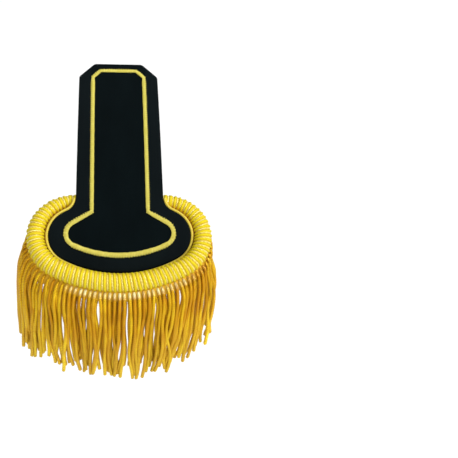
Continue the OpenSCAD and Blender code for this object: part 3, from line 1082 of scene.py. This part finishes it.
class EPAULETTE_OT_outline(bpy.types.Operator):
    """Sew the gold outline in satin stitch over a raised padding"""

    bl_idname = "epaulette.outline"
    bl_label = "Stitched Outline"

    # Section of the padding. Columns: part of the way across the outline, part of the rise
    PADDING = ((0.10, 0.2), (0.25, 0.9), (0.50, 1.1), (0.75, 0.9), (0.90, 0.2))

    # Part of the outline's width that a stitch spans
    SPAN = 0.90

    # Turn of the outline within a few stitches at which they stand square to it, without slant or teeth
    CORNER_REACH = 4
    CORNER_TURN = math.radians(40)

    # Part of its length that a stitch loses in such a corner
    CORNER_TRIM = 0.10

    def execute(self, context):
        board = Board(sizes("board"))
        g = sizes("outline")
        colours = sizes("colours")
        face = board.group.thickness
        rungs = outline_rungs()
        rings = []
        places, turns, spans, teeth = [], [], [], []
        laid = [[board.place(p.x, p.y, face) for p in rung] for rung in rungs]
        middles = [(a + b) / 2 for a, b in laid]
        for i, (a, b) in enumerate(laid):
            up = board.normal((rungs[i][0].y + rungs[i][1].y) / 2)
            rings.append([a.lerp(b, part) + up * g.rise * high for part, high in self.PADDING])
            run = (middles[(i + 1) % len(middles)] - middles[i - 1]).normalized()
            come = middles[i] - middles[i - self.CORNER_REACH]
            leave = middles[(i + self.CORNER_REACH) % len(middles)] - middles[i]
            straight = max(0.0, 1 - come.angle(leave) / self.CORNER_TURN)
            slant = g.slant * straight
            square = (b - a) - run * (b - a).dot(run)
            across = (square.normalized() + run * math.tan(slant)).normalized()
            along = up.cross(across)
            tooth = i % 2
            longer = g.tooth * straight * (tooth - 0.5)
            wide = self.SPAN * (1 - self.CORNER_TRIM * (1 - straight)) * square.length / math.cos(slant)
            places.append(middles[i] + up * g.thread_radius - across * wide * longer / 2)
            turns.append(Matrix((across, along, across.cross(along))).transposed().to_euler())
            spans.append(wide * (1 + longer))
            teeth.append(float(tooth))
        padding = loft("outline_padding", rings, closed=True)
        stitching = yarn_material(
            "Satin Thread",
            colours.stitching,
            colours.stitching_shade,
            plies=1,
            relief=0.00003,
            unevenness=0.8,
            Roughness=0.45,
            Specular_Tint=(*colours.gloss, 1.0),
        )
        finished("outline_padding", padding, "gold_stitching", stitching)
        mesh = bpy.data.meshes.new("stitch_places")
        mesh.from_pydata(places, [], [])
        store_vectors(mesh, "turn", turns)
        store_values(mesh, "span", spans)
        store_values(mesh, "tooth", teeth)
        values = {
            "Thread Radius": g.thread_radius,
            "Arch": g.rise,
            "Unevenness": g.ragged,
            "Material": stitching,
        }
        stitches = realized(placed("stitch_places", mesh), stitch_tree(), "outline_stitches", values)
        finished("outline_stitches", stitches, "gold_stitching", stitching, "face_line")
        return {"FINISHED"}


class EPAULETTE_OT_edge_cord(bpy.types.Operator):
    """Lay the thin twisted cord round the pad's edge"""

    bl_idname = "epaulette.edge_cord"
    bl_label = "Edge Cord"

    def execute(self, context):
        board = Board(sizes("board"))
        g = sizes("cord")
        colours = sizes("colours")
        half = board.pad_edge(g.gap + g.diameter / 2)
        path = spaced(mirrored(reversed(half[1:])) + half, g.step)
        rails = Rails()
        rails.add([board.slope @ Vector((p.x, p.y, g.lift)) for p in path], g.diameter / 2, shade=0.3)
        gold = yarn_material(
            "Edge Cord",
            colours.cord,
            colours.cord_shade,
            plies=3,
            relief=0.00005,
            Roughness=0.42,
            Specular_Tint=(*colours.gloss, 1.0),
        )
        mesh = swept_cord("edge_cord_twist", rails, gold, sides=15, plies=3, groove=0.12, lay=g.lay)
        finished("edge_cord_twist", mesh, "gold_cord", gold, "edge_cord")
        return {"FINISHED"}


# Turn of the roll's crown, from its outer side over its top
CROWN = math.radians(70)


def wrap_path(crescent, start, depth, step, dip=0.0):
    """A helix along the roll at a depth under its surface. It may dip away from the roll's crown."""
    g = crescent.group
    turns = 2 * g.reach / g.wrap_pitch
    count = round(turns * 2 * math.pi * g.front_radius / step)
    path = []
    for i in range(count + 1):
        a = 2 * math.pi * (turns * i / count + start)
        d = -g.reach + g.wrap_pitch * turns * i / count
        d += g.waver * noise.noise(Vector((d / g.wrap_pitch, start, math.sin(a))))
        d = max(-g.reach, min(g.reach, d))
        low = dip * (1 - math.cos(a + CROWN)) / 2
        path.append(crescent.around(d, -a, crescent.radius(d) - depth - low))
    return path


class EPAULETTE_OT_roll(bpy.types.Operator):
    """Pad the crescent roll and wind it in cord and glinting thread"""

    bl_idname = "epaulette.roll"
    bl_label = "Crescent Roll"

    # Distance between the padding's cross-sections, and their sides
    CORE_STEP = 0.0015
    CORE_SIDES = 28

    # Depth of the padding under the ribs in wrap radii, the length over which its ends round off, and
    # their least radius in parts of the rest
    CORE_DEPTH = 0.85
    CORE_ROUND = 0.003
    CORE_END = 0.5

    # Distance between the cross-sections of the wrapped cord and of the thread
    WRAP_STEP = 0.0009
    THREAD_STEP = 0.0006

    def padding(self, crescent):
        """The roll's core, under its ribs."""
        g = crescent.group
        around = [2 * math.pi * k / self.CORE_SIDES for k in range(self.CORE_SIDES)]
        rings = []
        for d in stations(g.reach, self.CORE_STEP):
            left = min(1.0, (g.reach - abs(d)) / self.CORE_ROUND)
            radius = crescent.radius(d) - self.CORE_DEPTH * g.wrap_radius
            radius *= self.CORE_END + (1 - self.CORE_END) * math.sqrt(1 - (1 - left) ** 2)
            rings.append([crescent.around(d, a, radius) for a in around])
        return loft("roll_padding", rings)

    def execute(self, context):
        g = sizes("roll")
        colours = sizes("colours")
        crescent = Crescent(g, Board(sizes("board")))
        # The padding's dark gold is painted shade, seen in the gaps between the ribs
        cloth = cloth_material("Roll Padding", colours.core, roughness=0.8)
        core = finished("roll_padding", self.padding(crescent), "gold_wrap", cloth, "crescent_roll")
        wrap = yarn_material(
            "Wrapped Cord",
            colours.wrap,
            colours.wrap_shade,
            plies=4,
            relief=0.00004,
            Roughness=0.48,
            Specular_IOR_Level=0.3,
            Specular_Tint=(*colours.gloss, 1.0),
        )
        path = wrap_path(crescent, 0.0, g.wrap_radius, self.WRAP_STEP)
        rails = Rails()
        rails.add(path, g.wrap_radius, shade=0.3)
        mesh = swept_cord("roll_wraps", rails, wrap, sides=12, plies=4, groove=0.07, lay=0.007)
        finished("roll_wraps", mesh, "gold_wrap", wrap)
        # The thread's pale colour is partly a painted highlight for its glints
        glint = yarn_material(
            "Glinting Thread",
            colours.thread,
            colours.wrap_shade,
            plies=2,
            relief=0.00003,
            Roughness=0.14,
            Specular_IOR_Level=1.0,
        )
        path = wrap_path(crescent, 0.5, g.thread_depth, self.THREAD_STEP, g.thread_dip)
        rails = Rails()
        rails.add(path, g.thread_radius, shade=0.6)
        mesh = swept_cord("roll_thread", rails, glint, sides=10, plies=2, groove=0.5, lay=0.0046)
        finished("roll_thread", mesh, "gold_wrap", glint)
        return {"FINISHED"}


class EPAULETTE_OT_seam(bpy.types.Operator):
    """Join the roll to the board with a strip of cloth in their crease"""

    bl_idname = "epaulette.seam"
    bl_label = "Edge Seam"

    # Distance between the strip's cross-sections
    STEP = 0.002

    # Place of the strip's outer edge inside the roll, in roll radii inward and down
    HOLD = (0.5, 0.4)

    def execute(self, context):
        board = Board(sizes("board"))
        g, cord = sizes("roll"), sizes("cord")
        crescent = Crescent(g, board)
        edge = board.pad_edge(0.0)
        edge += mirrored(edge)
        rings = []
        for d in stations(g.reach, self.STEP):
            middle, out, radius = crescent.plan(d), crescent.out(d), crescent.radius(d)
            near = min(edge, key=lambda p: (p - middle.xy).length).to_3d()
            way = (middle - near).normalized()
            rim = near - way * g.seam_lap - Vector((0.0, 0.0, cord.gap))
            under = near + way * (cord.diameter + cord.gap) - Vector((0.0, 0.0, cord.gap))
            held = middle - out * radius * self.HOLD[0]
            held.z = crescent.rise(d) - radius * self.HOLD[1]
            thick = Vector((0.0, 0.0, g.seam_thickness))
            ring = [rim, under, held, held - thick, under - thick, rim - thick]
            rings.append([board.slope @ point for point in ring])
        # The strip's dark brown is painted shade in the crease between roll and board
        cloth = cloth_material("Seam Cloth", sizes("colours").seam, roughness=0.9)
        finished("edge_seam", loft("edge_seam", rings), "gold_wrap", cloth)
        return {"FINISHED"}


# Straight pieces between two points of a smooth path, before its even steps are taken
CURVE_PIECES = 8


def smooth_path(points, step):
    """A smooth curve through a row of points, at even steps."""
    chords = [(b - a).length for a, b in zip(points, points[1:])]
    slopes = []
    for i in range(len(points)):
        if i == 0 or i == len(points) - 1:
            k = min(i, len(chords) - 1)
            slopes.append((points[k + 1] - points[k]) / chords[k])
            continue
        before = (points[i] - points[i - 1]) / chords[i - 1]
        after = (points[i + 1] - points[i]) / chords[i]
        slopes.append((before * chords[i] + after * chords[i - 1]) / (chords[i - 1] + chords[i]))
    curve = []
    for k, chord in enumerate(chords):
        for i in range(CURVE_PIECES):
            t = i / CURVE_PIECES
            a, b = points[k], points[k + 1]
            curve.append(
                a * (2 * t**3 - 3 * t**2 + 1)
                + slopes[k] * chord * (t**3 - 2 * t**2 + t)
                + b * (3 * t**2 - 2 * t**3)
                + slopes[k + 1] * chord * (t**3 - t**2)
            )
    return spaced(curve + [points[-1]], step)


# How the fringe falls from its left end to its right, in parts of its reach, drop and swing.
# Columns: place, length, swing past the roll at each of the four levels, lean of the tip
FALL = (
    (-1.00, 1.040, -0.40, 0.10, 0.50, 0.70, 0.20),
    (-0.84, 1.050, 0.55, 1.12, 1.15, 1.10, 0.10),
    (-0.70, 1.030, 0.62, 0.98, 1.02, 1.05, 0.00),
    (-0.52, 0.985, 0.45, 0.75, 0.75, 0.60, 0.00),
    (-0.23, 0.990, 0.33, 0.60, 0.40, 0.15, -0.15),
    (0.18, 1.025, 0.33, 0.60, 0.40, 0.10, -0.35),
    (0.35, 1.010, 0.33, 0.60, 0.40, 0.10, -0.50),
    (0.60, 0.950, 0.15, 0.45, 0.50, 0.30, -1.30),
    (0.72, 0.930, -0.10, 0.55, 0.55, 0.45, -1.30),
    (0.80, 0.920, -0.20, 0.50, 0.50, 0.50, -1.00),
    (1.00, 0.895, -0.50, -0.10, 0.20, 0.30, -0.50),
)

# Parts of the drop at which the swings hold
LEVELS = (0.12, 0.35, 0.70, 1.00)

# How strong the painted highlight on the strands' pale tops is, by their place along the fringe
TOP_HIGHLIGHT = ((-0.40, 0.0), (-0.33, 0.8), (-0.10, 1.0), (0.42, 1.0), (0.55, 0.1), (1.00, 0.0))


def between_rows(table, place):
    """The values of a table at a place along the fringe, from the rows on either side of it."""
    place = max(table[0][0], min(table[-1][0], place))
    for before, after in zip(table, table[1:]):
        if place <= after[0]:
            break
    t = (place - before[0]) / (after[0] - before[0])
    return [u + (v - u) * t for u, v in zip(before[1:], after[1:])]


class EPAULETTE_OT_fringe(bpy.types.Operator):
    """Hang three rows of twisted strands in front of a band under the roll"""

    bl_idname = "epaulette.fringe"
    bl_label = "Hanging Fringe"

    # Names of the rows from front to back, and how far each is staggered, in strand pitches
    ROWS = {"fringe_front": 0.0, "fringe_middle": 0.5, "fringe_back": 0.25}

    # Place of a row's first strand before it is staggered, in strand pitches
    FIRST_PLACE = 0.25

    # How much further under the roll each row leaves it, and how much further in each root lies
    ROW_TURN = math.radians(18)
    ROOT_TURN = math.radians(15)

    # How much shorter each row's strands are than those before it, and how much less far it goes round
    ROW_TRIM = 0.04
    ROW_REACH = 0.19

    # How unevenly the strands stand at the roll and hang at their tips, in parts of their pitch, and how
    # unevenly they stand in their row, in row gaps
    ROOT_STRAY = 0.07
    TIP_STRAY = 0.25
    ROW_STRAY = 0.3

    # Gaps between the strands. Columns: place in parts of the reach, how far the strands stand aside
    PARTINGS = (
        (-0.92, 0.0016),
        (-0.73, 0.0012),
        (-0.56, 0.0016),
        (-0.40, 0.0008),
        (-0.15, 0.0017),
        (0.24, 0.0008),
        (0.43, 0.0009),
        (0.56, 0.0011),
        (0.80, 0.0012),
    )

    # How open the gaps are at the four levels, and the length in which the strands beside them close up
    OPENED = (0.95, 1.0, 0.6, 0.3)
    PART_REACH = 0.003

    # Depth of the roots in the ribs, in strand radii
    ROOT_SINK = 0.2

    # How dark the yarn of a strand may be, from the lightest to the darkest
    SHADES = (0.0, 1.0)

    # Least and most of a strand's thickness and of the painted highlight on its pale top, in parts of the
    # usual
    THICKNESSES = (0.92, 1.05)
    HIGHLIGHTS = (0.3, 1.0)

    # Places of the band behind the front row, in row gaps: near its top and at its lower edge
    HEADING_FRONT = 0.7
    HEADING_BACK = 2.6

    # Part of the drop at which the band begins to fall back, and its start in the ribs in strand radii
    HEADING_FALL = 0.045
    HEADING_SINK = 0.5

    # Lengths of the waves, in parts of a strand, and how many waves it has in depth for one aside
    WAVES = (0.55, 0.85)
    WAVE_RATIO = 0.7

    # Least strength of a wave, what a strand adds to its clump's, and how much the noise is raised
    LEAST_WAVE = 0.4
    WAVE_STRAY = (-0.1, 0.3)
    NOISE_GAIN = 2

    # How much the start of the wave changes from one clump to the next, and from strand to strand
    CLUMP_PHASE = 1.4
    STRAND_PHASE = 0.06

    # How far the rows stand apart in what clumps them. At zero they would all wave alike
    ROW_OFFSET = 0.3

    # Seed of the waves that clumps share. Without one they would start from the clock
    CLUMP_SEED = 2

    # How late a strand's lean grows on its way down, and how rare strands are that stray far
    LEAN_POWER = 1.6
    STRAY_POWER = 3

    def parting(self, d, reach):
        """How far aside a strand stands for the gaps beside it."""
        aside = 0.0
        for place, width in self.PARTINGS:
            away = d - place * reach
            aside += math.copysign(width, away) * math.exp(-abs(away) / self.PART_REACH)
        return aside

    def strand(self, crescent, d, row, chance):
        """The path of one strand, from under the roll to its tip."""
        g = sizes("fringe")
        middle, out, radius = crescent.middle(d), crescent.level_out(d), crescent.radius(d)
        along = Vector((-out.y, out.x, 0.0))
        part, *swings, tip_lean = between_rows(FALL, d / g.reach)
        under = g.heading_turn + row * self.ROW_TURN
        points = [
            crescent.beside(d, under + self.ROOT_TURN, radius - self.ROOT_SINK * g.strand_radius),
            crescent.beside(d, under, radius + g.strand_radius),
        ]
        top = radius * crescent.steepness(d)
        drop = part * g.drop * (1.0 - row * self.ROW_TRIM + chance.uniform(-g.trim, g.trim)) - top
        behind = (row + chance.uniform(-self.ROW_STRAY, self.ROW_STRAY)) * g.row_gap
        parted = self.parting(d, g.reach)
        stray = chance.uniform(-1.0, 1.0) ** self.STRAY_POWER * g.stray_lean * (1 + abs(d) / g.reach)
        aside = tip_lean * g.swing + stray
        aside += chance.uniform(-self.TIP_STRAY, self.TIP_STRAY) * g.strand_pitch
        arch = g.arch * (1 - (d / g.reach) ** 2)
        for down, swing, opened in zip(LEVELS, swings, self.OPENED):
            drift = noise.noise(Vector((d / g.clump, down, self.ROW_OFFSET * row))) * g.drift * down
            lean = aside * down**self.LEAN_POWER + drift + parted * opened
            reach = radius + swing * g.swing - behind + (arch if down == LEVELS[0] else 0.0)
            points.append(middle + out * reach + along * lean - Vector((0.0, 0.0, top + down * drop)))
        path = smooth_path(points, g.step)
        swirl = noise.noise_vector(Vector((d / g.clump, 0.0, self.ROW_OFFSET * row)))
        start = self.CLUMP_PHASE * swirl.x + self.STRAND_PHASE * chance.uniform(-1.0, 1.0)
        shortest, longest = self.WAVES
        span = shortest + (longest - shortest) * min(1.0, abs(self.NOISE_GAIN * swirl.y))
        strength = abs(self.NOISE_GAIN * swirl.z) + chance.uniform(*self.WAVE_STRAY)
        wave = g.wave * max(self.LEAST_WAVE, min(1.0, strength))
        for i, point in enumerate(path):
            down = i / len(path)
            a = 2 * math.pi * (down / span + start)
            path[i] = point + (along * math.sin(a) + out * math.cos(self.WAVE_RATIO * a)) * wave * down
        return path

    def execute(self, context):
        g = sizes("fringe")
        colours = sizes("colours")
        crescent = Crescent(sizes("roll"), Board(sizes("board")))
        gold = yarn_material(
            "Fringe Yarn",
            colours.fringe,
            colours.fringe_shade,
            plies=3,
            relief=0.00010,
            unevenness=0.95,
            coil_depth=0.38,
            top=colours.fringe_top_highlight,
            tip=colours.fringe_tip_light,
            Metallic=0.5,
            Roughness=0.38,
            Specular_IOR_Level=0.5,
            Specular_Tint=(*colours.gloss, 1.0),
        )
        noise.seed_set(self.CLUMP_SEED)
        for row, (name, stagger) in enumerate(self.ROWS.items()):
            reach = g.reach * (1 - row * self.ROW_REACH)
            count = round(2 * reach / (g.back_pitch if row else g.strand_pitch))
            chance = random.Random(g.seed + row)
            rails = Rails()
            for i in range(count):
                d = -reach + 2 * reach * (i + self.FIRST_PLACE + stagger) / count
                d += chance.uniform(-self.ROOT_STRAY, self.ROOT_STRAY) * g.strand_pitch
                path = self.strand(crescent, d, row, chance)
                thick = g.strand_radius * chance.uniform(*self.THICKNESSES)
                # How strong the painted highlight on this strand's top is
                pale = between_rows(TOP_HIGHLIGHT, d / g.reach)[0] * chance.uniform(*self.HIGHLIGHTS)
                rails.add(path, thick, chance.uniform(*self.SHADES), pale, strand=True)
            mesh = swept_cord(name, rails, gold, sides=12, plies=3, groove=0.16, lay=g.lay)
            finished(name, mesh, "gold_fringe", gold, "fringe")
        # The band's dark gold is painted shade, seen in the gaps between the strands
        band = cloth_material("Heading Band", colours.heading, roughness=0.8)
        finished("fringe_heading", self.heading(crescent), "gold_fringe", band)
        return {"FINISHED"}

    def heading(self, crescent):
        """A thin band from the roll's ribs down behind the tops of the strands."""
        g = sizes("fringe")
        rings = []
        for d in stations(g.reach, g.strand_pitch):
            middle, out, radius = crescent.middle(d), crescent.level_out(d), crescent.radius(d)
            part, first_swing, *_ = between_rows(FALL, d / g.reach)
            top = radius * crescent.steepness(d)
            drop = part * g.drop - top
            reach = radius + first_swing * g.swing
            upper = crescent.beside(d, g.heading_turn, radius - self.HEADING_SINK * g.strand_radius)
            near = middle + out * (reach - self.HEADING_FRONT * g.row_gap)
            near.z -= top + self.HEADING_FALL * drop
            lower = middle + out * (reach - self.HEADING_BACK * g.row_gap)
            lower.z -= top + g.heading_depth * drop
            inner = out * g.heading_thickness
            rings.append([upper, near, lower, lower - inner, near - inner, upper - inner])
        return loft("fringe_heading", rings)


class EPAULETTE_OT_back_pin(bpy.types.Operator):
    """Give the back pin its plated steel"""

    bl_idname = "epaulette.back_pin"
    bl_label = "Back Pin"

    def execute(self, context):
        steel = steel_material(sizes("colours"))
        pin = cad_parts["back_pin"]
        for slot in pin.material_slots:
            slot.material = steel
        return {"FINISHED"}


# Stage


class EPAULETTE_OT_stage(bpy.types.Operator):
    """Set the pale floor, the soft lights and the camera"""

    bl_idname = "epaulette.stage"
    bl_label = "Stage"

    # Half of the floor's width, and its pale tone
    FLOOR_REACH = 12.0
    FLOOR_TONE = (0.99, 0.99, 0.99, 1.0)

    # Where the lights stand, and the width of the one on top
    KEY_PLACE = (0.80, -0.38, 0.80)
    FRONT_PLACE = (0.20, -1.0, 0.30)
    TOP_PLACE = (-0.05, 0.10, 0.60)
    TOP_WIDTH = 0.30

    def lamp(self, name, kind, place, power):
        """A light that faces the epaulette."""
        light = bpy.data.lights.new(name, kind)
        light.energy = power
        lamp = placed(name, light)
        lamp.location = place
        lamp.rotation_euler = (-Vector(place)).to_track_quat("-Z", "Y").to_euler()
        return light

    def camera(self, g):
        """The camera at the picture's place, panned and tilted so that the target falls on its pixel."""
        cos_e, sin_e = math.cos(g.elevation), math.sin(g.elevation)
        back = Vector((-math.sin(g.azimuth) * cos_e, -math.cos(g.azimuth) * cos_e, sin_e))
        right = Vector((math.cos(g.azimuth), -math.sin(g.azimuth), 0.0))
        aim = Matrix((right, back.cross(right), back)).transposed()
        across = g.target_pixel[0] - g.picture / 2
        above = g.picture / 2 - g.target_pixel[1]
        pan = Matrix.Rotation(math.atan2(across, g.focal_pixels), 3, "Y")
        tilt = Matrix.Rotation(-math.atan2(above, math.hypot(g.focal_pixels, across)), 3, "X")
        roll = Matrix.Rotation(g.roll, 3, "Z")
        data = bpy.data.cameras.new("camera")
        data.lens = g.focal_pixels / g.picture * data.sensor_width
        camera = placed("camera", data)
        place = Vector(g.target) + back * g.distance
        camera.matrix_world = Matrix.Translation(place) @ (aim @ pan @ tilt @ roll).to_4x4()
        bpy.context.scene.camera = camera

    def execute(self, context):
        g = sizes("stage")
        reach = self.FLOOR_REACH
        mesh = bpy.data.meshes.new("floor")
        corners = [(x * reach, y * reach, -g.floor_drop) for x, y in ((-1, -1), (1, -1), (1, 1), (-1, 1))]
        mesh.from_pydata(corners, [], [(0, 1, 2, 3)])
        mesh.materials.append(principled("Pale Floor", Roughness=0.9, Base_Color=self.FLOOR_TONE)[0])
        floor = placed("floor", mesh)
        world = bpy.data.worlds.new("white")
        world.use_nodes = True
        background = world.node_tree.nodes["Background"]
        background.inputs["Color"].default_value = (1.0, 1.0, 1.0, 1.0)
        background.inputs["Strength"].default_value = g.sky
        context.scene.world = world
        context.scene.view_settings.view_transform = "Standard"
        self.lamp("key", "SUN", self.KEY_PLACE, g.key).angle = g.key_softness
        self.lamp("front", "SUN", self.FRONT_PLACE, g.front).angle = g.front_softness
        self.lamp("top", "AREA", self.TOP_PLACE, g.top).size = self.TOP_WIDTH
        self.camera(g)
        return {"FINISHED"}


class EPAULETTE_PT_panel(bpy.types.Panel):
    """Sizes, colours and pieces of the epaulette"""

    bl_idname = "EPAULETTE_PT_panel"
    bl_label = "Epaulette"
    bl_space_type = "VIEW_3D"
    bl_region_type = "UI"
    bl_category = "Epaulette"

    def draw(self, context):
        for operator in OPERATORS:
            self.layout.operator(operator.bl_idname)
        for name, group in GROUPS.items():
            box = self.layout.box()
            box.label(text=group.__doc__)
            for key in group.__annotations__:
                box.prop(getattr(context.scene, name), key)


OPERATORS = (
    EPAULETTE_OT_board,
    EPAULETTE_OT_outline,
    EPAULETTE_OT_edge_cord,
    EPAULETTE_OT_roll,
    EPAULETTE_OT_seam,
    EPAULETTE_OT_fringe,
    EPAULETTE_OT_back_pin,
    EPAULETTE_OT_stage,
)


def register():
    for cls in (*GROUPS.values(), *OPERATORS, EPAULETTE_PT_panel):
        bpy.utils.register_class(cls)
    for name, group in GROUPS.items():
        setattr(bpy.types.Scene, name, PointerProperty(type=group))


def unregister():
    for name in GROUPS:
        delattr(bpy.types.Scene, name)
    for cls in (EPAULETTE_PT_panel, *OPERATORS, *GROUPS.values()):
        bpy.utils.unregister_class(cls)


def main():
    register()
    bpy.ops.epaulette.board()
    bpy.ops.epaulette.outline()
    bpy.ops.epaulette.edge_cord()
    bpy.ops.epaulette.roll()
    bpy.ops.epaulette.seam()
    bpy.ops.epaulette.fringe()
    bpy.ops.epaulette.back_pin()
    bpy.ops.epaulette.stage()


if __name__ == "__main__":
    main()
